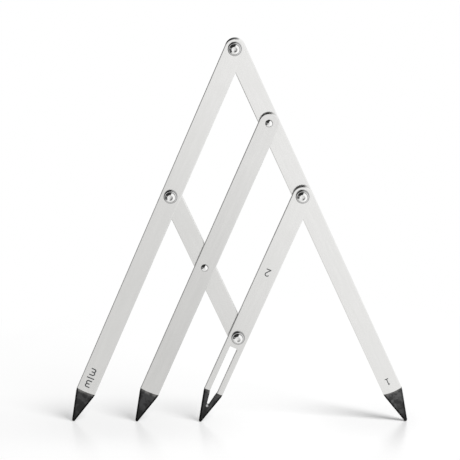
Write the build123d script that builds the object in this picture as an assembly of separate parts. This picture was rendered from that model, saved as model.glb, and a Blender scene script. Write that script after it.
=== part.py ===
from build123d import *
import math
import os

# Golden ratio divider: five flat steel bars riveted into a double parallelogram that spaces four points.
# Millimetres, +Z up, the front towards -Y. The points stand on Z = 0 and the apex pivot is above X = 0.
# A bar is drawn flat, with x from its first pivot to its end and z from its back face to its front face.
# A pivot is drawn as half a section, with x as the radius and y as the height towards the front.

# Bars
LEG_LENGTH = 170.0  # apex pivot to the very point, on each long leg
BAR_WIDTH = 8.0
BAR_THICKNESS = 1.5
BAR_EDGE_ROUND = 0.35
OPENING_ANGLE = 47.65  # between the two long legs, in degrees

# Coated points
TIP_LENGTH = 14.4  # edge of the coat to the very point
TIP_RADIUS = 0.65  # round of the point, over the coat
COAT_THICKNESS = 0.18
COAT_EDGE_ROUND = 0.45

# Slot in the short leg, which forks its point
SLOT_WIDTH = 3.1
SLOT_SETBACK = 4.75  # lower pivot to the slot's square end
SLOT_CORNER_ROUND = 0.3
FORK_DEPTH = 6.1  # edge of the coat to the bottom of the fork, over the coat
FORK_RADIUS = 0.45

# Pivots
RUNNING_CLEARANCE = 0.05
FRICTION_WASHER_THICKNESS = 0.25
FRICTION_WASHER_INSET = 0.6  # edge of a bar to the edge of a friction washer

LARGE_SHANK_RADIUS = 1.5
LARGE_HEAD_OVERHANG = 0.65
LARGE_HEAD_RIM = 0.15
LARGE_HEAD_HEIGHT = 0.9
DIMPLE_RADIUS = 1.1
DIMPLE_DEPTH = 0.3
WASHER_OVERHANG = 0.58  # edge of a large head to the edge of its washer
WASHER_THICKNESS = 1.2
WASHER_EDGE_ROUND = 0.4

SMALL_SHANK_RADIUS = 0.9
SMALL_HEAD_OVERHANG = 0.6
SMALL_HEAD_RIM = 0.15
SMALL_HEAD_HEIGHT = 1.0

SET_HEAD_HEIGHT = 0.9  # the flat heads that close the rivets at the back
SET_HEAD_ROUND = 0.25

# Golden section of the legs
GOLDEN_RATIO = (1 + math.sqrt(5)) / 2
SECTION = LEG_LENGTH / GOLDEN_RATIO**2
HALF_SECTION = SECTION / 2
REACH = LEG_LENGTH - TIP_RADIUS  # apex pivot to the centre of a point's round

# Layers: the legs that carry the left, middle and short points lie in front of the other two bars
FRONT_FACE = FRICTION_WASHER_THICKNESS / 2 + BAR_THICKNESS
FRONT_LAYER = -FRICTION_WASHER_THICKNESS / 2
BACK_LAYER = FRONT_FACE

# Places of the pivots
HALF_ANGLE = math.radians(OPENING_ANGLE / 2)
LEFT_WAY = Vector(-math.sin(HALF_ANGLE), 0, -math.cos(HALF_ANGLE))
RIGHT_WAY = Vector(math.sin(HALF_ANGLE), 0, -math.cos(HALF_ANGLE))
APEX = Vector(0, 0, REACH * math.cos(HALF_ANGLE) + TIP_RADIUS)
LEFT = APEX + LEFT_WAY * SECTION
UPPER = APEX + RIGHT_WAY * HALF_SECTION
RIGHT = APEX + RIGHT_WAY * SECTION
CROSS = UPPER + LEFT_WAY * SECTION
LOWER = RIGHT + LEFT_WAY * SECTION

BORE_RADIUS = {
    "large": LARGE_SHANK_RADIUS + RUNNING_CLEARANCE,
    "small": SMALL_SHANK_RADIUS + RUNNING_CLEARANCE,
}
LARGE_HEAD_RADIUS = LARGE_SHANK_RADIUS + LARGE_HEAD_OVERHANG
SMALL_HEAD_RADIUS = SMALL_SHANK_RADIUS + SMALL_HEAD_OVERHANG


def tapered_edges(start, half_width, centre, radius):
    """Two straight edges from start that close on a round about the centre, both on the bar's middle line."""
    length = centre - start
    slope = math.acos(radius / math.hypot(half_width, length)) - math.atan2(length, half_width)
    touch_x = centre + radius * math.sin(slope)
    touch_y = radius * math.cos(slope)
    return [
        Line((start, half_width), (touch_x, touch_y)),
        ThreePointArc((touch_x, touch_y), (centre + radius, 0), (touch_x, -touch_y)),
        Line((touch_x, -touch_y), (start, -half_width)),
    ]


def rounded_end(x, side):
    """Half circle that ends a bar at x, on the far side (1) or the near side (-1)."""
    half = BAR_WIDTH / 2
    return ThreePointArc((x, half), (x + side * half, 0), (x, -half))


def long_edges(start, end, half_width):
    """The two straight sides of a strip between start and end."""
    return [Line((start, side * half_width), (end, side * half_width)) for side in (1, -1)]


def coat_edge(reach):
    """Distance from a leg's first pivot to the edge of its coat, for a point centred at reach."""
    return reach + TIP_RADIUS - TIP_LENGTH


def fork_slot(reach, start, offset):
    """Slot from start to the bottom of the fork, widened by offset; its end at start is square."""
    half_width = SLOT_WIDTH / 2 - COAT_THICKNESS + offset
    bend = coat_edge(reach)
    bottom = bend + FORK_DEPTH - FORK_RADIUS
    edges = long_edges(start, bend, half_width) + tapered_edges(bend, half_width, bottom, FORK_RADIUS + offset)
    edges.append(Line((start, half_width), (start, -half_width)))
    return make_face(edges)


def round_faces(solid, radius, skip_x=None):
    """Rounds the edges of a flat solid's two faces, apart from those on the line at skip_x."""
    edges = solid.faces().filter_by(Axis.Z).edges()
    if skip_x is not None:
        edges = edges.filter_by(lambda edge: abs(edge.center().X - skip_x) > RUNNING_CLEARANCE)
    return fillet(edges, radius)


def bar_edge_round():
    """Round of a bar's edges, within its thickness."""
    return min(BAR_EDGE_ROUND, 0.4 * BAR_THICKNESS)


def drilled(bar, bores):
    """The bar with a bore at each (distance, size)."""
    for distance, size in bores:
        bar -= Pos(distance, 0, BAR_THICKNESS / 2) * Cylinder(BORE_RADIUS[size], 2 * BAR_THICKNESS)
    return bar


def leg_blank(reach, slot_start=None):
    """Flat leg with a round upper end and a bare steel point, slotted from slot_start if that is given."""
    half = BAR_WIDTH / 2
    shoulder = coat_edge(reach)
    edges = long_edges(0, shoulder, half)
    edges += tapered_edges(shoulder, half, reach, TIP_RADIUS - COAT_THICKNESS)
    edges.append(rounded_end(0, -1))
    outline = make_face(edges)
    if slot_start is not None:
        slot = fork_slot(reach, slot_start, COAT_THICKNESS)
        square_end = slot.vertices().filter_by(lambda corner: abs(corner.X - slot_start) < RUNNING_CLEARANCE)
        outline -= fillet(square_end, min(SLOT_CORNER_ROUND, 0.4 * SLOT_WIDTH))
    return round_faces(extrude(outline, BAR_THICKNESS), bar_edge_round())


def tip_coat(leg, reach, forked=False):
    """Dipped coat over a leg's steel point, open at its upper edge."""
    start = coat_edge(reach)
    half = BAR_WIDTH / 2 + COAT_THICKNESS
    depth = BAR_THICKNESS + 2 * COAT_THICKNESS
    edges = tapered_edges(start, half, reach, TIP_RADIUS)
    edges.append(Line((start, half), (start, -half)))
    outline = make_face(edges)
    if forked:
        outline -= fork_slot(reach, start - COAT_THICKNESS, 0)
    body = Pos(0, 0, -COAT_THICKNESS) * extrude(outline, depth)
    return round_faces(body, min(COAT_EDGE_ROUND, 0.4 * depth, 0.8 * TIP_RADIUS), start) - leg


def brace_blank():
    """Flat bar with two round ends, one section long between its end pivots."""
    edges = long_edges(0, SECTION, BAR_WIDTH / 2) + [rounded_end(0, -1), rounded_end(SECTION, 1)]
    return round_faces(extrude(make_face(edges), BAR_THICKNESS), bar_edge_round())


def axis_arc(start, end):
    """Arc between two (radius, height) points about a centre on the pivot's axis."""
    (start_radius, start_height), (end_radius, end_height) = start, end
    rise = 2 * (start_height - end_height)
    centre = (start_radius**2 + start_height**2 - end_radius**2 - end_height**2) / rise
    radius = math.hypot(start_radius, start_height - centre)
    first = math.atan2(start_height - centre, start_radius)
    last = math.atan2(end_height - centre, end_radius)
    middle = (first + last) / 2
    return ThreePointArc(start, (radius * math.cos(middle), centre + radius * math.sin(middle)), end)


def corner_arc(corner_radius, corner_height, size, upward):
    """Quarter round at the outer corner of a section, from its side wall to its face (upward 1 or -1)."""
    centre = (corner_radius - size, corner_height - upward * size)
    slant = size * math.sqrt(0.5)
    return ThreePointArc(
        (corner_radius, centre[1]),
        (centre[0] + slant, centre[1] + upward * slant),
        (centre[0], corner_height),
    )


def turned(edges):
    """Solid of revolution of a half section about the pivot's axis."""
    return revolve(Plane.XZ * make_face(edges), Axis.Z)


def rivet(shank_radius, head_radius, rim, height, seat, dimpled):
    """Rivet whose domed head sits at seat and whose flat set head sits at -seat."""
    set_base = -seat - SET_HEAD_HEIGHT
    set_round = min(SET_HEAD_ROUND, 0.4 * SET_HEAD_HEIGHT)
    crown = (DIMPLE_RADIUS, seat + height) if dimpled else (0, seat + height)
    edges = [
        Line((0, set_base), (head_radius - set_round, set_base)),
        corner_arc(head_radius, set_base, set_round, -1),
        Line((head_radius, set_base + set_round), (head_radius, -seat)),
        Line((head_radius, -seat), (shank_radius, -seat)),
        Line((shank_radius, -seat), (shank_radius, seat)),
        Line((shank_radius, seat), (head_radius, seat)),
        Line((head_radius, seat), (head_radius, seat + rim)),
        axis_arc((head_radius, seat + rim), crown),
    ]
    top = seat + height
    if dimpled:
        top -= DIMPLE_DEPTH
        edges.append(axis_arc(crown, (0, top)))
    edges.append(Line((0, top), (0, set_base)))
    return turned(edges)


def large_rivet():
    """Rivet of a main pivot, with a dimpled head over a washer."""
    return rivet(
        LARGE_SHANK_RADIUS,
        LARGE_HEAD_RADIUS,
        LARGE_HEAD_RIM,
        LARGE_HEAD_HEIGHT,
        FRONT_FACE + WASHER_THICKNESS,
        dimpled=True,
    )


def small_rivet():
    """Rivet of a guide pivot, with a plain domed head straight on the bar."""
    return rivet(
        SMALL_SHANK_RADIUS,
        SMALL_HEAD_RADIUS,
        SMALL_HEAD_RIM,
        SMALL_HEAD_HEIGHT,
        FRONT_FACE,
        dimpled=False,
    )


def outer_washer(side):
    """Washer under a large rivet's head, at the front (1) or the back (-1), rounded on its outer face."""
    radius = LARGE_HEAD_RADIUS + WASHER_OVERHANG
    edge_round = min(WASHER_EDGE_ROUND, 0.8 * WASHER_OVERHANG, 0.8 * WASHER_THICKNESS)
    base = side * FRONT_FACE
    face = base + side * WASHER_THICKNESS
    bore = BORE_RADIUS["large"]
    return turned(
        [
            Line((bore, base), (radius, base)),
            Line((radius, base), (radius, face - side * edge_round)),
            corner_arc(radius, face, edge_round, side),
            Line((radius - edge_round, face), (bore, face)),
            Line((bore, face), (bore, base)),
        ]
    )


def friction_washer(size):
    """Thin washer that fills the gap between the two layers of bars."""
    disc = Cylinder(BAR_WIDTH / 2 - FRICTION_WASHER_INSET, FRICTION_WASHER_THICKNESS)
    return disc - Cylinder(BORE_RADIUS[size], 2 * FRICTION_WASHER_THICKNESS)


def on_bar(shape, pivot, way, layer):
    """A bar's flat shape set on its first pivot, along its way, with its back face at the layer."""
    return Plane((pivot.X, layer, pivot.Z), x_dir=way, z_dir=(0, -1, 0)) * shape


def on_pivot(shape, pivot):
    """A pivot's shape set on its axis, midway between the layers."""
    return Plane((pivot.X, 0, pivot.Z), x_dir=(1, 0, 0), z_dir=(0, -1, 0)) * shape


def leg_nodes():
    """The four pointed legs, each with the coat of its point."""
    apex_bore = (0, "large")
    plans = {
        "left": (APEX, LEFT_WAY, FRONT_LAYER, REACH, [apex_bore, (SECTION, "large")], None),
        "right": (
            APEX,
            RIGHT_WAY,
            BACK_LAYER,
            REACH,
            [apex_bore, (HALF_SECTION, "small"), (SECTION, "large")],
            None,
        ),
        "middle": (
            UPPER,
            LEFT_WAY,
            FRONT_LAYER,
            REACH - HALF_SECTION,
            [(0, "small"), (SECTION, "small")],
            None,
        ),
        "short": (
            RIGHT,
            LEFT_WAY,
            FRONT_LAYER,
            REACH - SECTION,
            [(0, "large"), (SECTION, "large")],
            SECTION + SLOT_SETBACK,
        ),
    }
    nodes = {}
    for name, (pivot, way, layer, reach, bores, slot_start) in plans.items():
        blank = leg_blank(reach, slot_start)
        coat = tip_coat(blank, reach, forked=slot_start is not None)
        nodes[name + "_leg"] = on_bar(drilled(blank, bores), pivot, way, layer)
        nodes[name + "_tip"] = on_bar(coat, pivot, way, layer)
    return nodes


def brace_node():
    """The brace that keeps the front legs parallel."""
    bores = [(0, "large"), (HALF_SECTION, "small"), (SECTION, "large")]
    return on_bar(drilled(brace_blank(), bores), LEFT, RIGHT_WAY, BACK_LAYER)


def pivot_nodes():
    """Rivets and washers of the six pivots."""
    nodes = {}
    for name, pivot in {"apex": APEX, "left": LEFT, "right": RIGHT, "lower": LOWER}.items():
        nodes[name + "_rivet"] = on_pivot(large_rivet(), pivot)
        nodes[name + "_front_washer"] = on_pivot(outer_washer(1), pivot)
        nodes[name + "_back_washer"] = on_pivot(outer_washer(-1), pivot)
        nodes[name + "_friction_washer"] = on_pivot(friction_washer("large"), pivot)
    for name, pivot in {"upper": UPPER, "cross": CROSS}.items():
        nodes[name + "_rivet"] = on_pivot(small_rivet(), pivot)
        nodes[name + "_friction_washer"] = on_pivot(friction_washer("small"), pivot)
    return nodes


os.makedirs("parts", exist_ok=True)
for node, shape in {**leg_nodes(), "cross_brace": brace_node(), **pivot_nodes()}.items():
    export_step(shape, f"parts/{node}.step")
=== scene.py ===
"""Golden ratio divider: finishes and fine forms for a riveted steel linkage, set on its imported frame.

Lengths are in metres, in the frame of the CAD model: +Z up, the front towards -Y, the points standing on
Z = 0. A bar's own axes are x down the bar, y across it and z to the front. A turned piece is drawn as half a
section, with x as the radius and y as the height to the front.
"""

import logging
import math
from dataclasses import dataclass, field
from enum import Enum
from functools import cache
from typing import ClassVar

import bmesh
import bpy
from mathutils import Matrix, Vector


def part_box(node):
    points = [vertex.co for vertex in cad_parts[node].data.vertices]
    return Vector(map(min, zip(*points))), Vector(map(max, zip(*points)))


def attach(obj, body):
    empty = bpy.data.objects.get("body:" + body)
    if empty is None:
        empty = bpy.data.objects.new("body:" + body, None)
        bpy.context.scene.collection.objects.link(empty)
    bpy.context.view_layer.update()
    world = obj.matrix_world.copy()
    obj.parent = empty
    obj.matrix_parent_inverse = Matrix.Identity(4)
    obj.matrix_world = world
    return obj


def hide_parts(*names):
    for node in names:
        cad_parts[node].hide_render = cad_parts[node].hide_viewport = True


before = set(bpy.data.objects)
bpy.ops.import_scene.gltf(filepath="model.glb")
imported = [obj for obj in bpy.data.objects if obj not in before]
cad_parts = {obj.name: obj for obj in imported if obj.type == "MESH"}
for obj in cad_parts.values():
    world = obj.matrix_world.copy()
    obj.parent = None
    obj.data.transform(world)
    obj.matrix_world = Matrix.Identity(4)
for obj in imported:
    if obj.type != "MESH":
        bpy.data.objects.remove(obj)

BMesh = bmesh.types.BMesh
Vert = bmesh.types.BMVert
Material = bpy.types.Material
Object = bpy.types.Object
Outputs = bpy.types.bpy_prop_collection
Socket = bpy.types.NodeSocket
Colour = tuple[float, float, float, float]
Given = dict[str | int, object]
Point = tuple[float, float]
Triple = tuple[float, float, float]

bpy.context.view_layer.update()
LOG = logging.getLogger("divider")
MM = 0.001
TOUCH = 0.01 * MM
FULL_TURN = 2 * math.pi
RIGHT_ANGLE = math.pi / 2
SHARP_ANGLE = math.radians(40)
TURN_STEPS = 96
FRONT = Vector((0, -1, 0))
ASIDE = Vector((1, 0, 0))


def grey(level: float) -> Colour:
    """A colour without a hue."""
    return level, level, level, 1.0


WHITE = grey(1.0)
WORN_VINYL = grey(0.095)
# Darker copies of the bar steel for the middle leg: painted shade.
SHADED_STEEL = (0.81, 0.806, 0.796, 1.0)
SHADED_DULL_STEEL = (0.785, 0.781, 0.771, 1.0)


class Slot(Enum):
    """Material slots of the record."""

    RIVET = "rivet_steel"
    WASHER = "washer_steel"
    TIP = "tip_coat"


class Side(Enum):
    """Face of the linkage that a washer lies on."""

    FRONT = 1
    BACK = -1


class Top(Enum):
    """End of its leg that the top of a number points to."""

    POINT = 1
    APEX = -1


class Digit(Enum):
    """Plain marks that tell the legs apart."""

    ONE = "1"
    TWO = "2"
    THREE = "3"
    RULE = "-"


# Shader nodes


class Nodes:
    """Short calls that add nodes to one tree and join them.

    A value that is given to a call is another node's output, or a plain number, vector or colour.
    """

    def __init__(self, tree: bpy.types.NodeTree) -> None:
        """Keeps the tree that the calls work on."""
        self.tree = tree

    def feed(self, socket: Socket, value: object) -> None:
        """Joins an output to a socket, or sets the socket to a plain value.

        Args:
            socket: The input that is fed.
            value: What it is fed.
        """
        if isinstance(value, Socket):
            self.tree.links.new(value, socket)
        else:
            socket.default_value = value

    def add(self, kind: str, given: Given | None = None, **settings: object) -> bpy.types.Node:
        """Adds a node.

        Args:
            kind: The node's type name.
            given: Values for its inputs, by name or by place.
            settings: Properties to set on the node.

        Returns:
            The new node.
        """
        node = self.tree.nodes.new(kind)
        for name, value in settings.items():
            setattr(node, name, value)
        for label, value in (given or {}).items():
            self.feed(node.inputs[label], value)
        return node

    def math(self, operation: str, first: object, second: object = 0.0) -> Socket:
        """Result of a Math node."""
        return self.add("ShaderNodeMath", {0: first, 1: second}, operation=operation).outputs[0]

    def vector_math(self, operation: str, first: object, second: object = (0, 0, 0)) -> Outputs:
        """Vector and Value outputs of a Vector Math node."""
        return self.add("ShaderNodeVectorMath", {0: first, 1: second}, operation=operation).outputs

    def dot(self, vector: Socket, way: object) -> Socket:
        """How far a vector goes in a direction."""
        return self.vector_math("DOT_PRODUCT", vector, way)["Value"]

    def length(self, vector: Socket) -> Socket:
        """A vector's length."""
        return self.vector_math("LENGTH", vector)["Value"]

    def radius(self, vector: Socket) -> Socket:
        """Distance of coordinates from the y axis."""
        return self.length(self.vector_math("MULTIPLY", vector, (1.0, 0.0, 1.0))["Vector"])

    def spread(self, value: object, span: Point = (0.0, 1.0), result: Point = (0.0, 1.0)) -> Socket:
        """A value mapped smoothly from the ends of a span to the ends of a result."""
        given = dict(enumerate((value, *span, *result)))
        return self.add("ShaderNodeMapRange", given, interpolation_type="SMOOTHSTEP").outputs["Result"]

    def blend(self, amount: object, first: object, second: object) -> Socket:
        """A mix of two colours, by the share of the second, at the places of the colour sockets."""
        return self.add("ShaderNodeMix", {0: amount, 6: first, 7: second}, data_type="RGBA").outputs[2]

    def layer(self, amount: Socket, first: Socket, second: Socket) -> Socket:
        """A mix of two shaders, by the share of the second."""
        return self.add("ShaderNodeMixShader", {0: amount, 1: first, 2: second}).outputs[0]

    def noise(self, vector: Socket, scale: object, detail: float) -> Socket:
        """Noise from 0 to 1, by its lumps per unit of the coordinates and its number of finer layers."""
        given = {"Vector": vector, "Scale": scale, "Detail": detail}
        return self.add("ShaderNodeTexNoise", given).outputs["Fac"]

    def bump(self, height: Socket, strength: float, depth: float) -> Socket:
        """Normal bumped by a height from 0 to 1, by the share that shows and the depth of a full step."""
        given = {"Height": height, "Strength": strength, "Distance": depth}
        return self.add("ShaderNodeBump", given).outputs["Normal"]

    def direct(self) -> Socket:
        """One in the camera's own view, and nought elsewhere."""
        return self.add("ShaderNodeLightPath").outputs["Is Camera Ray"]

    def mirrored(self) -> Socket:
        """One in reflections and through glass, and nought elsewhere."""
        path = self.add("ShaderNodeLightPath").outputs
        return self.math("MAXIMUM", path["Is Glossy Ray"], path["Is Transmission Ray"])


class Effect:
    """A shader node group that puts out masks, placed in several finishes with their own values."""

    def __init__(self, name: str, values: dict[str, float], masks: tuple[str, ...]) -> None:
        """Starts the group.

        Args:
            name: The group's name.
            values: Its number inputs, besides Vector, with their defaults.
            masks: Its outputs.
        """
        group = bpy.data.node_groups.new(name, "ShaderNodeTree")
        group.interface.new_socket(name="Vector", in_out="INPUT", socket_type="NodeSocketVector")
        for label, default in values.items():
            socket = group.interface.new_socket(name=label, in_out="INPUT", socket_type="NodeSocketFloat")
            socket.default_value = default
        for label in masks:
            group.interface.new_socket(name=label, in_out="OUTPUT", socket_type="NodeSocketFloat")
        self.group = group
        self.nodes = Nodes(group)
        self.inputs = self.nodes.add("NodeGroupInput").outputs
        self.outputs = self.nodes.add("NodeGroupOutput").inputs

    def place(self, nodes: Nodes, vector: Socket, **values: float) -> Outputs:
        """Outputs of the group, placed in a finish with its coordinates and its own values."""
        return nodes.add("ShaderNodeGroup", {"Vector": vector} | values, node_tree=self.group).outputs


def brushed_grain() -> Effect:
    """Grain along x: fine brush lines and broad bands.

    Returns:
        The effect, with Lines and Bands from 0 to 1.
    """
    effect = Effect("brushed_grain", {"Lines": 9000.0, "Bands": 900.0}, ("Lines", "Bands"))
    nodes = effect.nodes
    for label, stretch, detail in (("Lines", (0.03, 0.3, 1.0), 3.0), ("Bands", (0.08, 0.3, 1.0), 2.0)):
        stretched = nodes.vector_math("MULTIPLY", effect.inputs["Vector"], stretch)["Vector"]
        grain = nodes.noise(stretched, effect.inputs[label], detail)
        nodes.feed(effect.outputs[label], nodes.spread(grain, span=(0.3, 0.7)))
    return effect


def handling_haze() -> Effect:
    """Soft cloudy marks that handling leaves on metal and plastic.

    Returns:
        The effect, with Haze from 0 to 1.
    """
    effect = Effect("handling_haze", {"Scale": 110.0, "Cover": 0.5}, ("Haze",))
    nodes = effect.nodes
    cloud = nodes.noise(effect.inputs["Vector"], effect.inputs["Scale"], detail=4.0)
    raised = nodes.math("ADD", cloud, effect.inputs["Cover"])
    nodes.feed(effect.outputs["Haze"], nodes.spread(raised, span=(0.95, 1.25)))
    return effect


def turned_rings() -> Effect:
    """Fine rings about the y axis, as a lathe leaves on a face.

    Returns:
        The effect, with Rings from 0 to 1.
    """
    effect = Effect("turned_rings", {"Scale": 800.0}, ("Rings",))
    given = {label: effect.inputs[label] for label in ("Vector", "Scale")}
    given |= {"Distortion": 1.5, "Detail": 2.0}
    wave = effect.nodes.add("ShaderNodeTexWave", given, wave_type="RINGS", rings_direction="Y")
    effect.nodes.feed(effect.outputs["Rings"], wave.outputs["Fac"])
    return effect


def dipped_skin() -> Effect:
    """Skin of a dipped coat: a fine peel and slow mottling.

    Returns:
        The effect, with Peel and Mottle from 0 to 1.
    """
    effect = Effect("dipped_skin", {"Peel": 2600.0, "Mottle": 420.0}, ("Peel", "Mottle"))
    nodes = effect.nodes
    for label, detail, span in (("Peel", 2.0, (0.25, 0.75)), ("Mottle", 3.0, (0.35, 0.7))):
        lumps = nodes.noise(effect.inputs["Vector"], effect.inputs[label], detail)
        nodes.feed(effect.outputs[label], nodes.spread(lumps, span))
    return effect


@dataclass(frozen=True)
class Effects:
    """The effects that finishes share, each built once."""

    grain: Effect = field(default_factory=brushed_grain)
    haze: Effect = field(default_factory=handling_haze)
    rings: Effect = field(default_factory=turned_rings)
    skin: Effect = field(default_factory=dipped_skin)


# Finishes


@dataclass(frozen=True)
class Finish:
    """What the finishes share: a pattern centred on a place and turned about the y axis."""

    effects: Effects
    name: str
    place: Vector = field(default_factory=Vector)
    turn: float = 0.0

    def start(self) -> tuple[Material, Nodes, bpy.types.NodeInputs, Socket]:
        """Starts the material.

        Returns:
            The material, its nodes, its shader's inputs and the coordinates of its pattern.
        """
        material = bpy.data.materials.new(self.name)
        material.use_nodes = True
        nodes = Nodes(material.node_tree)
        spot = nodes.add("ShaderNodeTexCoord").outputs["Object"]
        given = {"Vector": spot, "Location": self.place, "Rotation": (0, self.turn, 0)}
        mapping = nodes.add("ShaderNodeMapping", given, vector_type="TEXTURE")
        shader = material.node_tree.nodes["Principled BSDF"].inputs
        return material, nodes, shader, mapping.outputs["Vector"]


@dataclass(frozen=True, kw_only=True)
class BrushedBar(Finish):
    """Satin stainless steel, brushed along the bar and a little hazed; its side walls are rougher as sheared
    edges and painted darker as shade, except those facing right, which stay bright as if lit.
    """

    bright: Colour = (0.868, 0.864, 0.853, 1)
    dull: Colour = (0.847, 0.843, 0.832, 1)
    hazed: Colour = (0.83, 0.825, 0.812, 1)
    haze_share: float = 0.5
    # Colour of the side walls: sheared steel, painted dark as shade.
    sheared_and_shaded: Colour = grey(0.3)
    edge: Point = (0.34, 0.12)
    lit_side: Point = (0.6, 0.15)
    rough: Point = (0.17, 0.22)
    sheared_rough: float = 0.25

    def material(self) -> Material:
        """The material of one bar.

        Returns:
            The material.
        """
        material, nodes, shader, vector = self.start()
        grain = self.effects.grain.place(nodes, vector)
        haze = self.effects.haze.place(nodes, vector, Scale=90.0, Cover=0.45)["Haze"]
        facing = nodes.add("ShaderNodeTexCoord").outputs["Normal"]
        # Painted shade: side walls and their rounds turn dark and rough, but walls facing right stay bright
        # as if lit.
        edge = nodes.spread(nodes.math("ABSOLUTE", nodes.dot(facing, FRONT)), self.edge)
        edge = nodes.math("MULTIPLY", edge, nodes.spread(nodes.dot(facing, ASIDE), self.lit_side))
        steel = nodes.blend(grain["Bands"], self.dull, self.bright)
        steel = nodes.blend(nodes.math("MULTIPLY", haze, self.haze_share), steel, self.hazed)
        nodes.feed(shader["Base Color"], nodes.blend(edge, steel, self.sheared_and_shaded))
        brushed = nodes.spread(grain["Lines"], result=self.rough)
        torn = nodes.math("MULTIPLY", edge, self.sheared_rough)
        nodes.feed(shader["Roughness"], nodes.math("ADD", brushed, torn))
        nodes.feed(shader["Normal"], nodes.bump(grain["Lines"], strength=0.05, depth=0.004 * MM))
        nodes.feed(shader["Metallic"], 1.0)
        return material


@dataclass(frozen=True, kw_only=True)
class PolishedHead(Finish):
    """Bright polished steel of a rivet, with a rougher crown, faint rings and a painted shade line round its
    rim.
    """

    crown: Point
    rim: Point
    bright: Colour = (0.97, 0.968, 0.96, 1)
    veiled: Colour = (0.88, 0.877, 0.868, 1)
    rim_shade: Colour = grey(0.09)
    rough: Point = (0.08, 0.15)
    crown_rough: Point = (0.36, 0.0)

    def material(self) -> Material:
        """The material of one rivet.

        Returns:
            The material.
        """
        material, nodes, shader, vector = self.start()
        rings = self.effects.rings.place(nodes, vector, Scale=1100.0)["Rings"]
        haze = self.effects.haze.place(nodes, vector, Scale=700.0, Cover=0.45)["Haze"]
        radius = nodes.radius(vector)
        steel = nodes.blend(haze, self.bright, self.veiled)
        # Painted shade: the head darkens towards its rim, standing for the shade in the groove round the
        # head.
        nodes.feed(shader["Base Color"], nodes.blend(nodes.spread(radius, self.rim), steel, self.rim_shade))
        polished = nodes.spread(haze, result=self.rough)
        struck = nodes.spread(radius, self.crown, self.crown_rough)
        nodes.feed(shader["Roughness"], nodes.math("ADD", polished, struck))
        nodes.feed(shader["Normal"], nodes.bump(rings, strength=0.05, depth=0.003 * MM))
        nodes.feed(shader["Metallic"], 1.0)
        return material


@dataclass(frozen=True, kw_only=True)
class TurnedWasher(Finish):
    """Bright turned steel of a washer, with lathe rings on its face, and an edge that is rougher as stamped
    and painted darker as shade.
    """

    bright: Colour = (0.86, 0.858, 0.85, 1)
    dull: Colour = (0.76, 0.758, 0.75, 1)
    stamped_and_shaded: Colour = (0.34, 0.34, 0.345, 1)
    edge: Point = (2.25 * MM, 2.5 * MM)
    rough: Point = (0.11, 0.18)
    edge_rough: float = 0.1

    def material(self) -> Material:
        """The material of one washer.

        Returns:
            The material.
        """
        material, nodes, shader, vector = self.start()
        rings = self.effects.rings.place(nodes, vector, Scale=800.0)["Rings"]
        haze = self.effects.haze.place(nodes, vector, Scale=500.0, Cover=0.4)["Haze"]
        edge = nodes.spread(nodes.radius(vector), self.edge)
        steel = nodes.blend(haze, self.bright, self.dull)
        # Painted shade: the washer's rim is darkened all round, besides being a rougher stamped edge.
        nodes.feed(shader["Base Color"], nodes.blend(edge, steel, self.stamped_and_shaded))
        turned = nodes.spread(rings, result=self.rough)
        torn = nodes.math("MULTIPLY", edge, self.edge_rough)
        nodes.feed(shader["Roughness"], nodes.math("ADD", turned, torn))
        nodes.feed(shader["Normal"], nodes.bump(rings, strength=0.1, depth=0.003 * MM))
        nodes.feed(shader["Metallic"], 1.0)
        return material


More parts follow.
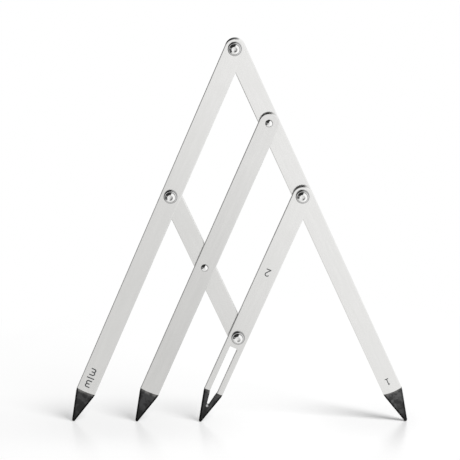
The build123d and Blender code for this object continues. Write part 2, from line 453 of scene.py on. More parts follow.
@dataclass(frozen=True, kw_only=True)
class DippedVinyl(Finish):
    """Satin black dipped vinyl with a fine peel, painted blackest along its sides as shade, and greyer
    towards its lip, partly as a thinner coat and partly as a painted highlight.

    Its sides slope in by an angle, at a distance from the pattern's centre, and each has its share of painted
    shade.
    Where it gathers, at a distance down the leg, it is glossy, and just below it a pale spot is painted as a
    highlight.
    """

    slope: float
    side: float
    shaded: Point
    gathered: float
    worn: Colour
    black: Colour = grey(0.003)
    thin: Colour = (0.14, 0.137, 0.133, 1)
    painted_highlight: Colour = grey(0.42)
    mottled: Point = (0.3, 1.3)
    wear: Point = (0.0, 0.8)
    wear_share: Point = (0.2, 1.2)
    lip: Point = (0.78, 0.94)
    border: Point = (1.15 * MM, 0.25 * MM)
    drop: Point = (1.5 * MM, 0.9 * MM)
    spot: Point = (0.75 * MM, 0.2 * MM)
    highlight_below: float = 0.5 * MM
    rough: Point = (0.4, 0.55)
    gloss: Point = (0.5, 0.04)
    gloss_rough: float = 0.22

    def side_shade(self, nodes: Nodes, vector: Socket) -> Socket:
        """Painted shade along the coat's two sides.

        Args:
            nodes: The finish's nodes.
            vector: Coordinates of its pattern.

        Returns:
            The mask.
        """
        dark = 0.0
        for way, share in zip((1, -1), self.shaded):
            out = nodes.dot(vector, (math.sin(self.slope), 0, way * math.cos(self.slope)))
            near = nodes.spread(nodes.math("SUBTRACT", self.side, out), self.border, (0.0, share))
            dark = nodes.math("MAXIMUM", dark, near)
        return dark

    @staticmethod
    def round_spot(nodes: Nodes, vector: Socket, along: float, span: Point) -> Socket:
        """A round spot at a distance down the leg, with the radii where it starts and is full."""
        offset = nodes.vector_math("SUBTRACT", vector, (along, 0, 0))["Vector"]
        return nodes.spread(nodes.radius(offset), span)

    def material(self) -> Material:
        """The material of one coated point.

        Returns:
            The material.
        """
        material, nodes, shader, vector = self.start()
        skin = self.effects.skin.place(nodes, vector)
        lip = nodes.add("ShaderNodeAttribute", attribute_name=DippedTip.LIP).outputs["Fac"]
        mottle = nodes.spread(skin["Mottle"], result=self.mottled)
        worn = nodes.math("MULTIPLY", mottle, nodes.spread(lip, self.wear, self.wear_share))
        coat = nodes.blend(worn, self.black, self.worn)
        # Greyer towards the lip: partly a thinner coat, partly a painted highlight along the lip.
        coat = nodes.blend(nodes.math("MULTIPLY", nodes.spread(lip, self.lip), mottle), coat, self.thin)
        # Painted shade: the coat turns black near its sides, each side by its own share.
        dark = self.side_shade(nodes, vector)
        coat = nodes.blend(dark, coat, self.black)
        drop = self.round_spot(nodes, vector, self.gathered, self.drop)
        # Painted highlight: a pale round spot just below where the vinyl gathers.
        spot = self.round_spot(nodes, vector, self.gathered + self.highlight_below, self.spot)
        nodes.feed(shader["Base Color"], nodes.blend(spot, coat, self.painted_highlight))
        nodes.feed(shader["Roughness"], nodes.spread(skin["Mottle"], result=self.rough))
        gloss = nodes.spread(dark, result=self.gloss)
        nodes.feed(shader["Coat Weight"], nodes.math("MAXIMUM", gloss, drop))
        nodes.feed(shader["Normal"], nodes.bump(skin["Peel"], strength=0.2, depth=0.02 * MM))
        nodes.feed(shader["Coat Roughness"], self.gloss_rough)
        nodes.feed(shader["Specular IOR Level"], 0.0)
        return material


@dataclass(frozen=True, kw_only=True)
class Clouded(Finish):
    """What the dull finishes share: a clean colour under a cloudy one."""

    clean: Colour
    clouded: Colour
    scale: float
    cover: float
    rough: Point

    def material(self) -> Material:
        """The clouded material.

        Returns:
            The material.
        """
        material, nodes, shader, vector = self.start()
        haze = self.effects.haze.place(nodes, vector, Scale=self.scale, Cover=self.cover)["Haze"]
        nodes.feed(shader["Base Color"], nodes.blend(haze, self.clean, self.clouded))
        nodes.feed(shader["Roughness"], nodes.spread(haze, result=self.rough))
        return material


@dataclass(frozen=True, kw_only=True)
class WhiteNylon(Clouded):
    """Off-white nylon of the washers between the bars."""

    clean: Colour = (0.80, 0.79, 0.76, 1)
    clouded: Colour = (0.60, 0.58, 0.54, 1)
    scale: float = 400.0
    cover: float = 0.5
    rough: Point = (0.45, 0.6)


@dataclass(frozen=True, kw_only=True)
class FilledMark(Clouded):
    """Grey filler in an engraved number, a little rubbed."""

    clean: Colour = (0.06, 0.063, 0.067, 1)
    clouded: Colour = (0.13, 0.134, 0.14, 1)
    scale: float = 1500.0
    cover: float = 0.45
    rough: Point = (0.5, 0.65)


# Shapes


def verts_in(parts: list[object]) -> list[Vert]:
    """The points among what an operator made."""
    return [part for part in parts if isinstance(part, Vert)]


class Path:
    """A line of edges in the xy plane, drawn from point to point."""

    MERGE = 0.0005 * MM

    def __init__(self, x: float, y: float) -> None:
        """Starts at a point."""
        self.mesh = bmesh.new()
        self.first = self.last = self.mesh.verts.new((x, y, 0))

    def line(self, x: float, y: float) -> "Path":
        """Goes straight to a point.

        Args:
            x: The point's x.
            y: The point's y.

        Returns:
            The path itself.
        """
        self.last = bmesh.ops.extrude_vert_indiv(self.mesh, verts=[self.last])["verts"][0]
        self.last.co = (x, y, 0)
        return self

    def arc(self, centre: Point, turn: float, steps: int) -> "Path":
        """Goes round a centre.

        Args:
            centre: The centre's x and y.
            turn: Angle in radians, positive from x towards y.
            steps: Number of edges.

        Returns:
            The path itself.
        """
        made = bmesh.ops.spin(
            self.mesh, geom=[self.last], cent=(*centre, 0), axis=(0, 0, 1), angle=turn, steps=steps
        )
        self.last = verts_in(made["geom_last"])[0]
        return self

    def close(self, cuts: int = 0) -> "Path":
        """Joins the last point to the first.

        Args:
            cuts: Number of points to put on the joining edge.

        Returns:
            The path itself.
        """
        edge = self.mesh.edges.new((self.last, self.first))
        if cuts:
            bmesh.ops.subdivide_edges(self.mesh, edges=[edge], cuts=cuts)
        return self

    def turned(self) -> BMesh:
        """Spins the line once about the y axis, and closes its seam and poles.

        Returns:
            The turned shape.
        """
        line = self.mesh.verts[:] + self.mesh.edges[:]
        around = {"cent": (0, 0, 0), "axis": (0, 1, 0), "angle": FULL_TURN, "steps": TURN_STEPS}
        bmesh.ops.spin(self.mesh, geom=line, use_merge=True, **around)
        bmesh.ops.remove_doubles(self.mesh, verts=self.mesh.verts, dist=self.MERGE)
        return self.mesh

    def plate(self, thickness: float) -> BMesh:
        """Fills the closed line and gives it a thickness, half to each side.

        Args:
            thickness: The plate's thickness.

        Returns:
            The plate.
        """
        bmesh.ops.contextual_create(self.mesh, geom=self.mesh.edges[:])
        bmesh.ops.translate(self.mesh, vec=(0, 0, -thickness / 2), verts=self.mesh.verts)
        made = bmesh.ops.extrude_face_region(self.mesh, geom=self.mesh.faces[:])["geom"]
        bmesh.ops.translate(self.mesh, vec=(0, 0, thickness), verts=verts_in(made))
        bmesh.ops.recalc_face_normals(self.mesh, faces=self.mesh.faces)
        return self.mesh


class Pen:
    """Draws a number as flat strokes, in millimetres about its middle, with x to its right and y up."""

    STROKE_STEP = 0.002
    BOWL_STEPS = 24

    def __init__(self, width: float) -> None:
        """Takes a pen of a width.

        Args:
            width: The strokes' width.
        """
        self.mesh = bmesh.new()
        self.width = width
        self.level = 0.0

    def edge(self, middle: Vector, across: Vector) -> bmesh.types.BMEdge:
        """Sets the pen down, a little above the stroke before.

        Args:
            middle: Where the stroke starts.
            across: Direction of the pen's width.

        Returns:
            The edge that the stroke is drawn with.
        """
        self.level += self.STROKE_STEP
        half = across.normalized() * self.width / 2
        ends = [self.mesh.verts.new((*spot, self.level)) for spot in (middle - half, middle + half)]
        return self.mesh.edges.new(ends)

    def bar(self, start: Point, end: Point) -> None:
        """Draws a straight stroke.

        Args:
            start: Its first point.
            end: Its last point.
        """
        run = Vector(end) - Vector(start)
        edge = self.edge(Vector(start), run.orthogonal())
        made = bmesh.ops.extrude_edge_only(self.mesh, edges=[edge])["geom"]
        bmesh.ops.translate(self.mesh, vec=(*run, 0), verts=verts_in(made))

    def bowl(self, centre: Point, radius: float, start: float, turn: float) -> None:
        """Draws a round stroke.

        Args:
            centre: Its centre.
            radius: Radius of its middle line.
            start: Angle of its first point, in degrees from x towards y.
            turn: Angle that it goes on for.
        """
        way = Vector((math.cos(math.radians(start)), math.sin(math.radians(start))))
        edge = self.edge(Vector(centre) + way * radius, way)
        around = {"cent": (*centre, 0), "axis": (0, 0, 1), "angle": math.radians(turn)}
        bmesh.ops.spin(self.mesh, geom=[*edge.verts, edge], steps=self.BOWL_STEPS, **around)

    def raised(self, depth: float) -> BMesh:
        """Gives the strokes a depth, below their faces.

        Args:
            depth: The depth.

        Returns:
            The finished strokes.
        """
        made = bmesh.ops.extrude_face_region(self.mesh, geom=self.mesh.faces[:])["geom"]
        bmesh.ops.translate(self.mesh, vec=(0, 0, -depth), verts=verts_in(made))
        return self.mesh


@dataclass(frozen=True)
class Piece:
    """A new piece: its name, the body it rides on, its slot and the CAD nodes that it stands for."""

    name: str
    body: str
    slot: Slot | None = None
    stands_for: tuple[str, ...] = ()

    def make(self, mesh: BMesh, place: Matrix, material: Material) -> Object:
        """Makes the object, at the origin and with its place in its mesh.

        Args:
            mesh: The finished shape in its own axes, which is used up.
            place: Where those axes lie in the frame.
            material: The finish.

        Returns:
            The piece.
        """
        bmesh.ops.transform(mesh, matrix=place, verts=mesh.verts)
        bmesh.ops.recalc_face_normals(mesh, faces=mesh.faces)
        data = bpy.data.meshes.new(self.name)
        mesh.to_mesh(data)
        mesh.free()
        data.shade_smooth()
        data.set_sharp_from_angle(angle=SHARP_ANGLE)
        data.materials.append(material)
        piece = bpy.data.objects.new(self.name, data)
        bpy.context.scene.collection.objects.link(piece)
        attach(piece, self.body)
        if self.stands_for:
            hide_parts(*self.stands_for)
        return piece


def dress(node: str, material: Material) -> Object:
    """Gives a CAD node its finish.

    Args:
        node: The node's name.
        material: The finish.

    Returns:
        The node's object.
    """
    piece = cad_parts[node]
    for slot in piece.material_slots:
        slot.material = material
    return piece


@cache
def node_box(node: str) -> tuple[Vector, Vector]:
    """Lowest and highest corner of a CAD node."""
    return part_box(node)


def pivot_centre(pivot: str) -> Vector:
    """Middle of a pivot in the frame, between the two layers of bars."""
    low, high = node_box(pivot + "_rivet")
    return Vector(((low.x + high.x) / 2, 0, (low.z + high.z) / 2))


# Pivots


@dataclass(frozen=True)
class Pivot:
    """What the pivots share: a rivet with a domed head at the front and a flat set head at the back."""

    name: str
    body: str
    effects: Effects
    seat: float
    shank_radius: float
    head_radius: float
    head_height: float
    rim_width: float
    crown_radius: float
    rim_height: float = 0.15 * MM
    rim_inset: float = 0.02 * MM
    crown_fade: float = 0.2 * MM
    set_height: float = 0.9 * MM
    set_round: float = 0.25 * MM

    @property
    def place(self) -> Matrix:
        """Sets a turned shape on the pivot, with its height to the front."""
        return Matrix.Translation(pivot_centre(self.name)) @ Matrix.Rotation(math.pi, 4, "X")

    def finish(self, kind: type[Finish], piece: str, **sizes: Point) -> Material:
        """A finish for a piece of this pivot, with its rings round the pivot and sizes of its own."""
        return kind(self.effects, self.name + "_" + piece, pivot_centre(self.name), **sizes).material()

    def shank(self, section: Path) -> Path:
        """Goes on from the domed head's rim, down the shank and over the set head to the axis.

        Args:
            section: The section, drawn as far as the rim.

        Returns:
            The whole section.
        """
        base = -self.seat - self.set_height
        corner = (self.head_radius - self.set_round, base + self.set_round)
        section.line(self.head_radius, self.seat).line(self.shank_radius, self.seat)
        section.line(self.shank_radius, -self.seat).line(self.head_radius, -self.seat)
        section.line(self.head_radius, corner[1]).arc(corner, -RIGHT_ANGLE, steps=6)
        return section.line(0, base)

    def dome(self, crown: Point) -> Triple:
        """The round that rises from the head's rim to its crown, centred on the axis.

        Args:
            crown: Radius and height of the crown.

        Returns:
            The height of its centre, its radius, and its angle from the axis to the rim.
        """
        rim = (self.head_radius, self.seat + self.rim_height)
        rise = 2 * (rim[1] - crown[1])
        centre = (rim[0] ** 2 + rim[1] ** 2 - crown[0] ** 2 - crown[1] ** 2) / rise
        return centre, math.hypot(rim[0], rim[1] - centre), math.atan2(rim[0], rim[1] - centre)

    def make_rivet(self, section: Path) -> Object:
        """Turns the rivet from its section.

        Args:
            section: The section, drawn as far as the rim.

        Returns:
            The rivet.
        """
        rivet = Piece(self.name + "_domed_rivet", self.body, Slot.RIVET, (self.name + "_rivet",))
        rim = (self.head_radius - self.rim_width, self.head_radius - self.rim_inset)
        crown = (self.crown_radius - self.crown_fade, self.crown_radius)
        finish = self.finish(PolishedHead, "rivet", crown=crown, rim=rim)
        return rivet.make(self.shank(section).turned(), self.place, finish)


@dataclass(frozen=True)
class SmallPivot(Pivot):
    """A guide pivot: a plain domed rivet straight on the bars."""

    seat: float = 1.625 * MM
    shank_radius: float = 0.9 * MM
    head_radius: float = 1.5 * MM
    head_height: float = 1.0 * MM
    rim_width: float = 0.35 * MM
    crown_radius: float = 0.5 * MM

    def build(self) -> list[Object]:
        """Builds the rivet.

        Returns:
            The rivet, in a list.
        """
        crown = self.seat + self.head_height
        centre, _, rim_angle = self.dome((0, crown))
        return [self.make_rivet(Path(0, crown).arc((0, centre), -rim_angle, steps=14))]


@dataclass(frozen=True)
class LargePivot(Pivot):
    """A main pivot: a rivet with a dimpled dome, and a washer under each of its heads."""

    seat: float = 2.825 * MM
    shank_radius: float = 1.5 * MM
    head_radius: float = 2.15 * MM
    head_height: float = 0.9 * MM
    rim_width: float = 0.36 * MM
    crown_radius: float = 1.15 * MM
    dimple_radius: float = 1.1 * MM
    dimple_depth: float = 0.3 * MM
    ridge_round: float = 0.12 * MM
    washer_radius: float = 2.73 * MM
    washer_bore: float = 1.55 * MM
    washer_thickness: float = 1.2 * MM
    washer_round: float = 0.56 * MM

    def dimpled_head(self) -> Path:
        """Section of the domed head, from the bottom of its dimple over a rounded ridge to its rim.

        Returns:
            The section, as far as the rim.
        """
        top = self.seat + self.head_height
        centre, radius, rim_angle = self.dome((self.dimple_radius, top))
        bowl = (self.dimple_radius**2 + self.dimple_depth**2) / (2 * self.dimple_depth)
        bowl_centre = top - self.dimple_depth + bowl
        inner, outer = radius - self.ridge_round, bowl + self.ridge_round
        ridge_y = (inner**2 - outer**2 - centre**2 + bowl_centre**2) / (2 * (bowl_centre - centre))
        ridge_x = math.sqrt(inner**2 - (ridge_y - centre) ** 2)
        bowl_angle = math.atan2(ridge_x, bowl_centre - ridge_y)
        dome_angle = math.atan2(ridge_x, ridge_y - centre)
        section = Path(0, top - self.dimple_depth)
        section.arc((0, bowl_centre), bowl_angle, steps=6)
        section.arc((ridge_x, ridge_y), -bowl_angle - dome_angle, steps=5)
        return section.arc((0, centre), dome_angle - rim_angle, steps=14)

    def washer(self, side: Side) -> Object:
        """Builds a washer, rounded on its outer face.

        Args:
            side: The face of the linkage that it lies on.

        Returns:
            The washer.
        """
        face = side.value * self.seat
        base = side.value * (self.seat - self.washer_thickness)
        shoulder = (self.washer_radius - self.washer_round, face - side.value * self.washer_round)
        section = Path(self.washer_bore, base).line(self.washer_radius, base)
        section.line(self.washer_radius, shoulder[1])
        section.arc(shoulder, side.value * RIGHT_ANGLE, steps=8).line(self.washer_bore, face)
        label = side.name.lower() + "_washer"
        piece = Piece(f"{self.name}_turned_{label}", self.body, Slot.WASHER, (f"{self.name}_{label}",))
        return piece.make(section.close().turned(), self.place, self.finish(TurnedWasher, label))

    def build(self) -> list[Object]:
        """Builds the rivet and its two washers."""
        return [self.make_rivet(self.dimpled_head()), self.washer(Side.FRONT), self.washer(Side.BACK)]


# Bars


@dataclass(frozen=True)
class Bar:
    """A flat bar of the linkage, placed by two of its pivots."""

    name: str
    pivot: str
    next_pivot: str

    @property
    def way(self) -> Vector:
        """Direction down the bar."""
        return (pivot_centre(self.next_pivot) - pivot_centre(self.pivot)).normalized()

    @property
    def turn(self) -> float:
        """Angle about the y axis from x to the bar's direction."""
        return math.atan2(-self.way.z, self.way.x)

    @property
    def place(self) -> Matrix:
        """Sets the bar's own axes on its first pivot, in the middle of its thickness.

        Returns:
            Where the axes lie in the frame.
        """
        low, high = node_box(self.name)
        axes = Matrix((self.way, FRONT.cross(self.way), FRONT)).transposed().to_4x4()
        axes.translation = pivot_centre(self.pivot) + Vector((0, (low.y + high.y) / 2, 0))
        return axes


@dataclass(frozen=True)
class DippedTip:
    """Point of a leg, dipped in vinyl that thins to a lip along its upper edge."""

    LIP: ClassVar[str] = "lip"
    LIP_SHARES: ClassVar[tuple[float, ...]] = (0.25, 0.5, 0.75, 1.0)

    leg: Bar
    node: str
    effects: Effects
    worn: Colour = (0.046, 0.046, 0.047, 1)
    # Shares of the painted shade on the coat's two sides.
    shaded: Point = (1.0, 1.0)
    sag: float = 0.3 * MM
    length: float = 14.4 * MM
    point_radius: float = 0.65 * MM
    half_width: float = 4.18 * MM
    thickness: float = 1.86 * MM
    edge_round: float = 0.55 * MM
    bar_half_width: float = 4.0 * MM
    bar_thickness: float = 1.5 * MM
    lip_length: float = 1.5 * MM
    lip_thickness: float = 0.05 * MM
    fade: float = 8.0 * MM
    lip_cuts: int = 9

    @property
    def reach(self) -> float:
        """Distance from the leg's first pivot to the centre of its point's round."""
        low, _ = node_box(self.node)
        return (pivot_centre(self.leg.pivot).z - low.z - self.point_radius) / -self.leg.way.z

    @property
    def end(self) -> float:
        """Distance from the leg's first pivot to the end of its point."""
        return self.reach + self.point_radius

    @property
    def edge(self) -> float:
        """Distance from the leg's first pivot to the coat's upper edge."""
        return self.end - self.length

    @property
    def shoulder(self) -> float:
        """Distance from the leg's first pivot to where the lip begins."""
        return self.edge + self.lip_length

    @property
    def side_slope(self) -> float:
        """Angle between the coat's sides and the middle line."""
        return self.slope(self.half_width, self.reach - self.edge, self.point_radius)

    @property
    def gathered(self) -> float:
        """Distance from the leg's first pivot to where the vinyl gathers, or nought."""
        return 0.0

    @staticmethod
    def slope(half_width: float, length: float, radius: float) -> float:
        """Angle to the middle line of a side, from a half width to a round whose centre is a length away."""
        return math.acos(radius / math.hypot(half_width, length)) - math.atan2(length, half_width)

    def sides(self, below: float) -> Point:
        """Inner and outer distance from the middle line to the coat's sides, below its edge."""
        outer = self.half_width - below * math.tan(self.side_slope)
        return -outer, outer

    def lip_sides(self) -> Point:
        """Inner and outer distance from the middle line to the lip's edges."""
        return -self.bar_half_width - self.lip_thickness, self.bar_half_width + self.lip_thickness

    def point(self) -> Path:
        """Outline from one end of the shoulder round the point to the other end.

        Returns:
            The open outline.
        """
        slope = self.side_slope
        _, outer = self.sides(self.lip_length)
        touch = (self.reach + self.point_radius * math.sin(slope), self.point_radius * math.cos(slope))
        outline = Path(self.shoulder, outer).line(*touch)
        outline.arc((self.reach, 0), 2 * slope - math.pi, steps=14)
        return outline.line(self.shoulder, -outer)

    def outline(self) -> Path:
        """Closed outline of the coat below its lip."""
        return self.point().close(self.lip_cuts)

    def draw_lip(self, mesh: BMesh) -> None:
        """Draws the coat up from its shoulder to a thin lip, and marks how near each point is to its edge.

        Args:
            mesh: The coat, as far as the shoulder.
        """
        lip = mesh.verts.layers.float.new(self.LIP)
        on_shoulder = self.shoulder + TOUCH
        ends = [face for face in mesh.faces if all(vert.co.x < on_shoulder for vert in face.verts)]
        start, stop = self.sides(self.lip_length), self.lip_sides()
        thinning = (self.bar_thickness + 2 * self.lip_thickness) / self.thickness
        rings = {}
        for share in self.LIP_SHARES:
            made = bmesh.ops.extrude_face_region(mesh, geom=ends)["geom"]
            ends = [part for part in made if isinstance(part, bmesh.types.BMFace)]
            rings[share] = verts_in(made)
        for share, verts in rings.items():
            inner, outer = (a + (b - a) * share for a, b in zip(start, stop))
            for vert in verts:
                side = math.copysign(1, vert.co.y) if start[0] > 0 else 1
                spot = (side * vert.co.y - start[0]) / (start[1] - start[0])
                vert.co.y = side * (inner + spot * (outer - inner))
                vert.co.z *= 1 - (1 - thinning) * share**2
                dip = self.sag * share * (1 - (vert.co.y / self.bar_half_width) ** 2)
                vert.co.x = self.shoulder - self.lip_length * share + dip
        for vert in mesh.verts:
            vert[lip] = max(0.0, 1 - (vert.co.x - self.edge) / self.fade)

    def coat(self) -> Material:
        """Makes the vinyl of this point.

        Returns:
            The material.
        """
        slope = self.side_slope
        side = self.half_width * math.cos(slope) + self.edge * math.sin(slope)
        name, place = self.node.replace("_tip", "_vinyl"), pivot_centre(self.leg.pivot)
        form = {"slope": slope, "side": side, "gathered": self.gathered}
        tone = {"shaded": self.shaded, "worn": self.worn}
        return DippedVinyl(self.effects, name, place, self.leg.turn, **form, **tone).material()

    def build(self) -> list[Object]:
        """Builds the coated point.

        Returns:
            The point, in a list.
        """
        mesh = self.outline().plate(self.thickness)
        rims = [
            edge
            for edge in mesh.edges
            if math.isclose(edge.verts[0].co.z, edge.verts[1].co.z, abs_tol=TOUCH)
            and any(vert.co.x > self.shoulder + TOUCH for vert in edge.verts)
        ]
        bmesh.ops.bevel(
            mesh,
            geom=rims,
            offset=self.edge_round,
            offset_type="OFFSET",
            segments=5,
            profile=0.5,
            affect="EDGES",
            material=-1,
        )
        self.draw_lip(mesh)
        name = self.node.replace("_tip", "_dipped_tip")
        return [Piece(name, self.leg.name, Slot.TIP, (self.node,)).make(mesh, self.leg.place, self.coat())]


@dataclass(frozen=True)
class ForkedTip(DippedTip):
    """Dipped point of the slotted leg, whose slot runs on into the point as a fork."""

    sag: float = 0.0
    slot_half_width: float = 1.37 * MM
    bar_slot_half_width: float = 1.55 * MM
    fork_depth: float = 6.1 * MM
    fork_radius: float = 0.45 * MM

    @property
    def gathered(self) -> float:
        """Distance from the leg's first pivot to the bottom of the fork."""
        return self.edge + self.fork_depth

    @property
    def fork_slope(self) -> float:
        """Angle between the fork's sides and the middle line."""
        return self.slope(self.slot_half_width, self.fork_depth - self.fork_radius, self.fork_radius)

    def sides(self, below: float) -> Point:
        """Inner and outer distance from the middle line to a prong's sides, below the coat's edge."""
        _, outer = super().sides(below)
        return self.slot_half_width - below * math.tan(self.fork_slope), outer

    def lip_sides(self) -> Point:
        """Inner and outer distance from the middle line to the lip's edges on a prong."""
        return self.bar_slot_half_width - self.lip_thickness, self.bar_half_width + self.lip_thickness

    def outline(self) -> Path:
        """Closed outline of the forked coat below its lips.

        Returns:
            The outline.
        """
        slope, bottom = self.fork_slope, self.gathered - self.fork_radius
        inner, _ = self.sides(self.lip_length)
        touch = (bottom + self.fork_radius * math.sin(slope), self.fork_radius * math.cos(slope))
        outline = self.point().line(self.shoulder, -inner).line(touch[0], -touch[1])
        outline.arc((bottom, 0), math.pi - 2 * slope, steps=10)
        return outline.line(self.shoulder, inner).close()


@dataclass(frozen=True)
class Mark:
    """A plain number on the front of a leg, with its strokes in millimetres."""

    name: str
    leg: Bar
    digit: Digit
    top: Top
    material: Material
    along: float
    across: float = 0.0
    stroke: float = 0.5
    proud: float = 0.01
    depth: float = 0.05

    def strokes(self) -> Pen:
        """Draws the number.

        Returns:
            The pen that holds its strokes.
        """
        pen = Pen(self.stroke)
        match self.digit:
            case Digit.ONE:
                pen.bar((0, -1.4), (0, 1.5))
                pen.bar((-0.5, 0.95), (0.05, 1.42))
                pen.bar((-0.75, -1.25), (0.75, -1.25))
            case Digit.TWO:
                pen.bowl((0, 0.72), 0.76, 165, -205)
                pen.bar((0.58, 0.24), (-0.8, -1.38))
                pen.bar((-0.98, -1.38), (1.05, -1.38))
            case Digit.THREE:
                pen.bar((-1.0, 1.38), (0.3, 1.38))
                pen.bowl((0.3, 0.7), 0.68, 90, -180)
                pen.bar((-0.5, 0.02), (0.3, 0.02))
                pen.bowl((0.3, -0.69), 0.71, 90, -180)
                pen.bar((-1.05, -1.4), (0.3, -1.4))
            case Digit.RULE:
                pen.bar((-1.6, 0), (1.6, 0))
        return pen

    def build(self) -> list[Object]:
        """Builds the number on its leg.

        Returns:
            The number, in a list.
        """
        low, high = node_box(self.leg.name)
        height = (high.y - low.y) / 2 + self.proud * MM
        spot = Matrix.Translation((self.along, self.across, height))
        upright = Matrix.Rotation(-self.top.value * RIGHT_ANGLE, 4, "Z")
        place = self.leg.place @ spot @ upright @ Matrix.Scale(MM, 4)
        return [Piece(self.name, self.leg.name).make(self.strokes().raised(self.depth), place, self.material)]


# Setting


@dataclass(frozen=True)
class Viewpoint:
    """Camera at the photograph's viewing angle."""

    azimuth: float = 2.586
    elevation: float = 16.209
    roll: float = -0.717
    target: Triple = (-2.81 * MM, 0.0, 81.88 * MM)
    distance: float = 736.2 * MM
    lens: float = 144.0

    def build(self) -> None:
        """Makes the camera and gives it to the scene."""
        data = bpy.data.cameras.new("viewpoint")
        data.lens = self.lens
        camera = bpy.data.objects.new("viewpoint", data)
        bpy.context.scene.collection.objects.link(camera)
        turn, rise = math.radians(self.azimuth), math.radians(self.elevation)
        right = Vector((math.cos(turn), math.sin(turn), 0))
        back = Vector((math.sin(turn) * math.cos(rise), -math.cos(turn) * math.cos(rise), math.sin(rise)))
        axes = Matrix((right, back.cross(right), back)).transposed()
        axes = axes @ Matrix.Rotation(math.radians(self.roll), 3, "Z")
        camera.matrix_world = Matrix.Translation(Vector(self.target) + back * self.distance) @ axes.to_4x4()
        bpy.context.scene.camera = camera


@dataclass(frozen=True)
class Flag:
    """A dark card that shows only in reflections.

    It has a direction, the cosines where it starts and is full, and the share that is left at the horizon.
    """

    way: Triple
    edge: Point
    low: float = 1.0


@dataclass(frozen=True)
class Pool:
    """A pool of painted shade on the floor round some of the points: its middle, its reach and its depth."""

    middle: Point
    reach: Point
    depth: float


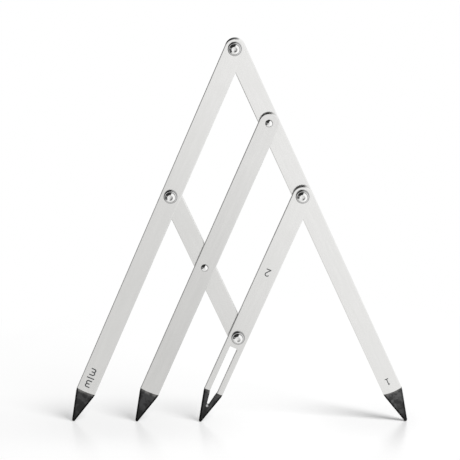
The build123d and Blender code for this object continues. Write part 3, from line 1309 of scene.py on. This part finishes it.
@dataclass(frozen=True)
class Studio:
    """White studio: a pale floor with soft shades, a white surround with dark flags, and a soft key light."""

    key_way: Triple = (0.52, -0.33, 0.79)
    key_strength: float = 3.35
    key_angle: float = 24.0
    fill: float = 0.3
    flags: tuple[Flag, ...] = (
        Flag(way=(-0.86, -0.10, 0.50), edge=(0.16, 0.33), low=0.72),
        Flag(way=(-0.14, 0.0, 0.99), edge=(0.76, 0.88)),
        Flag(way=(-0.30, 0.95, 0.02), edge=(0.955, 0.985)),
    )
    flag_shade: Colour = grey(0.03)
    flag_rise: Point = (0.10, 0.30)
    floor_size: float = 20.0
    floor_colour: Colour = grey(0.955)
    floor_rough: float = 0.3
    floor_ior: float = 2.4
    pools: tuple[Pool, ...] = (
        Pool(middle=(-43 * MM, -3 * MM), reach=(64 * MM, 42 * MM), depth=0.45),
        Pool(middle=(54 * MM, 2 * MM), reach=(38 * MM, 34 * MM), depth=0.28),
    )
    pool_edge: Point = (1.0, 0.1)
    pool_shade: Colour = grey(0.6)
    white_far: Point = (78 * MM, 170 * MM)
    white_row: float = 5 * MM
    white_beside: Point = (8 * MM, 37 * MM)
    beside_share: float = 0.85
    white_left: Point = (40 * MM, 0.0)
    left_share: float = 0.4
    sheen_way: Triple = (1.0, -0.2, 0.0)
    sheen_fall: Point = (-25 * MM, 130 * MM)
    sheen_shade: Colour = (0.785, 0.785, 0.78, 1)
    dark_from: Point = (-105 * MM, -165 * MM)
    dark_way: Triple = (-0.95, -0.3, 0.0)
    dark_edge: Point = (0.72, 0.9)
    dark_shade: Colour = grey(0.1)

    def surround(self) -> None:
        """Lights the world: white to the camera, flagged in reflections, and a plain fill."""
        world = bpy.data.worlds.new("studio")
        bpy.context.scene.world = world
        world.use_nodes = True
        nodes = Nodes(world.node_tree)
        background = world.node_tree.nodes["Background"]
        ray = nodes.add("ShaderNodeTexCoord").outputs["Generated"]
        rise = nodes.dot(ray, (0, 0, 1))
        flagged = WHITE
        for flag in self.flags:
            toward = nodes.spread(nodes.dot(ray, Vector(flag.way).normalized()), flag.edge)
            risen = nodes.spread(rise, self.flag_rise, (flag.low, 1.0))
            flagged = nodes.blend(nodes.math("MULTIPLY", toward, risen), flagged, self.flag_shade)
        lit = nodes.blend(nodes.mirrored(), grey(self.fill), flagged)
        nodes.feed(background.inputs["Color"], nodes.blend(nodes.direct(), lit, WHITE))

    def key_light(self) -> None:
        """Sets the soft key light at the front right, out of sight of reflections."""
        data = bpy.data.lights.new("key_light", "SUN")
        data.energy = self.key_strength
        data.angle = math.radians(self.key_angle)
        light = bpy.data.objects.new("key_light", data)
        light.rotation_euler = Vector(self.key_way).to_track_quat("Z", "Y").to_euler()
        light.visible_glossy = False
        bpy.context.scene.collection.objects.link(light)

    def floor_tint(self, nodes: Nodes, spot: Socket) -> Socket:
        """The floor's own colour, darkened by the pools of painted shade.

        Args:
            nodes: The floor's nodes.
            spot: Place on the floor.

        Returns:
            The colour.
        """
        tint = self.floor_colour
        # Painted shade: each pool darkens the floor's colour round the points.
        for pool in self.pools:
            offset = nodes.vector_math("SUBTRACT", spot, (*pool.middle, 0.0))["Vector"]
            away = nodes.length(nodes.vector_math("DIVIDE", offset, (*pool.reach, 1.0))["Vector"])
            tint = nodes.blend(nodes.spread(away, self.pool_edge, (0.0, pool.depth)), tint, self.pool_shade)
        return tint

    def floor_white(self, nodes: Nodes, spot: Socket) -> Socket:
        """How white the floor looks to the camera: with distance, beside the row of points, and to the left.

        Args:
            nodes: The floor's nodes.
            spot: Place on the floor.

        Returns:
            The share of white.
        """
        far = nodes.spread(nodes.length(spot), self.white_far)
        left = nodes.spread(nodes.dot(spot, ASIDE), self.white_left, (0.0, self.left_share))
        beside = nodes.math("ABSOLUTE", nodes.math("SUBTRACT", nodes.dot(spot, FRONT), self.white_row))
        return nodes.math("MAXIMUM", far, nodes.spread(beside, self.white_beside, (left, self.beside_share)))

    def floor_sheen(self, nodes: Nodes, spot: Socket) -> Socket:
        """The glow that the floor gives off in reflections, a painted sheen: white to the right, greyer to
        the left, dark at the far left.

        Args:
            nodes: The floor's nodes.
            spot: Place on the floor.

        Returns:
            The colour.
        """
        fall = nodes.spread(nodes.dot(spot, self.sheen_way), self.sheen_fall)
        heading = nodes.vector_math("NORMALIZE", spot)["Vector"]
        toward = nodes.spread(nodes.dot(heading, self.dark_way), self.dark_edge)
        dark = nodes.math("MULTIPLY", toward, nodes.spread(nodes.dot(spot, ASIDE), self.dark_from))
        return nodes.blend(dark, nodes.blend(fall, self.sheen_shade, WHITE), self.dark_shade)

    def floor_material(self) -> Material:
        """Pale satin floor that keeps the shadows and the pools of painted shade near the points, and glows
        with a painted sheen of its own in reflections.

        Returns:
            The material.
        """
        material = bpy.data.materials.new("studio_floor")
        material.use_nodes = True
        nodes = Nodes(material.node_tree)
        spot = nodes.add("ShaderNodeTexCoord").outputs["Object"]
        shader = material.node_tree.nodes["Principled BSDF"]
        nodes.feed(shader.inputs["Base Color"], self.floor_tint(nodes, spot))
        nodes.feed(shader.inputs["Roughness"], self.floor_rough)
        nodes.feed(shader.inputs["IOR"], self.floor_ior)
        white = nodes.add("ShaderNodeEmission").outputs[0]
        share = nodes.math("MULTIPLY", nodes.direct(), self.floor_white(nodes, spot))
        seen = nodes.layer(share, shader.outputs[0], white)
        # Painted sheen: in reflections the floor glows instead of showing its lit surface.
        sheen = nodes.add("ShaderNodeEmission", {"Color": self.floor_sheen(nodes, spot)}).outputs[0]
        surface = nodes.layer(nodes.mirrored(), seen, sheen)
        nodes.feed(material.node_tree.nodes["Material Output"].inputs["Surface"], surface)
        return material

    def floor(self) -> None:
        """Lays the floor under the points."""
        mesh = bmesh.new()
        bmesh.ops.create_grid(mesh, x_segments=1, y_segments=1, size=self.floor_size)
        data = bpy.data.meshes.new("studio_floor")
        mesh.to_mesh(data)
        mesh.free()
        data.materials.append(self.floor_material())
        floor = bpy.data.objects.new("studio_floor", data)
        bpy.context.scene.collection.objects.link(floor)

    def build(self) -> None:
        """Sets up the surround, the light and the floor."""
        self.surround()
        self.key_light()
        self.floor()


def dress_bars(effects: Effects, bars: dict[str, Bar]) -> list[Object]:
    """Brushes each bar along its length, and gives the washers between the bars their nylon.

    Args:
        effects: The shared effects.
        bars: The bars by name.

    Returns:
        The dressed nodes.
    """
    nylon = WhiteNylon(effects, "white_nylon").material()
    nodes = [dress(node, nylon) for node in sorted(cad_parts) if node.endswith("_friction_washer")]
    for name, bar in bars.items():
        # Painted shade: the middle leg takes darker copies of the steel.
        tones = {"bright": SHADED_STEEL, "dull": SHADED_DULL_STEEL} if name == "middle" else {}
        steel = BrushedBar(effects, "brushed_" + name, pivot_centre(bar.pivot), bar.turn, **tones)
        nodes.append(dress(bar.name, steel.material()))
    return nodes


def main() -> None:
    """Dresses the bars, builds the pivots, points and numbers, and sets the studio."""
    logging.basicConfig(level=logging.INFO, format="%(name)s: %(message)s")
    bpy.context.scene.view_settings.view_transform = "Standard"
    Viewpoint().build()
    Studio().build()
    effects = Effects()
    bars = {
        "left": Bar("left_leg", "apex", "left"),
        "right": Bar("right_leg", "apex", "right"),
        "middle": Bar("middle_leg", "upper", "cross"),
        "short": Bar("short_leg", "right", "lower"),
        "brace": Bar("cross_brace", "left", "lower"),
    }
    left, right, short = bars["left"], bars["right"], bars["short"]
    ink = FilledMark(effects, "filled_mark").material()
    left_tip = DippedTip(left, "left_tip", effects)
    # The right tip is paler, and its right side keeps less of the painted side shade.
    worn = {"worn": WORN_VINYL, "shaded": (0.65, 1.0), "sag": 0.45 * MM, "fade": 6 * MM}
    right_tip = DippedTip(right, "right_tip", effects, **worn)
    upper_three, rule, lower_three = (left_tip.end - up * MM for up in (23.4, 20.6, 17.9))
    one = right_tip.end - 18.9 * MM
    short_way = (pivot_centre("lower") - pivot_centre("right")).length
    assemblies = [
        LargePivot("apex", "right_leg", effects),
        LargePivot("left", "left_leg", effects),
        LargePivot("right", "right_leg", effects),
        LargePivot("lower", "short_leg", effects),
        SmallPivot("upper", "right_leg", effects),
        SmallPivot("cross", "middle_leg", effects),
        left_tip,
        DippedTip(bars["middle"], "middle_tip", effects),
        ForkedTip(short, "short_tip", effects),
        right_tip,
        Mark("left_upper_three", left, Digit.THREE, Top.APEX, ink, along=upper_three, across=-0.55 * MM),
        Mark("left_rule", left, Digit.RULE, Top.APEX, ink, along=rule, across=-0.42 * MM),
        Mark("left_lower_three", left, Digit.THREE, Top.POINT, ink, along=lower_three, across=-0.3 * MM),
        Mark("short_two", short, Digit.TWO, Top.POINT, ink, along=0.534 * short_way, stroke=0.4),
        Mark("right_one", right, Digit.ONE, Top.POINT, ink, along=one, across=-0.2 * MM, stroke=0.36),
    ]
    for piece in dress_bars(effects, bars):
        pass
    for assembly in assemblies:
        for piece in assembly.build():
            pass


if __name__ == "__main__":
    main()
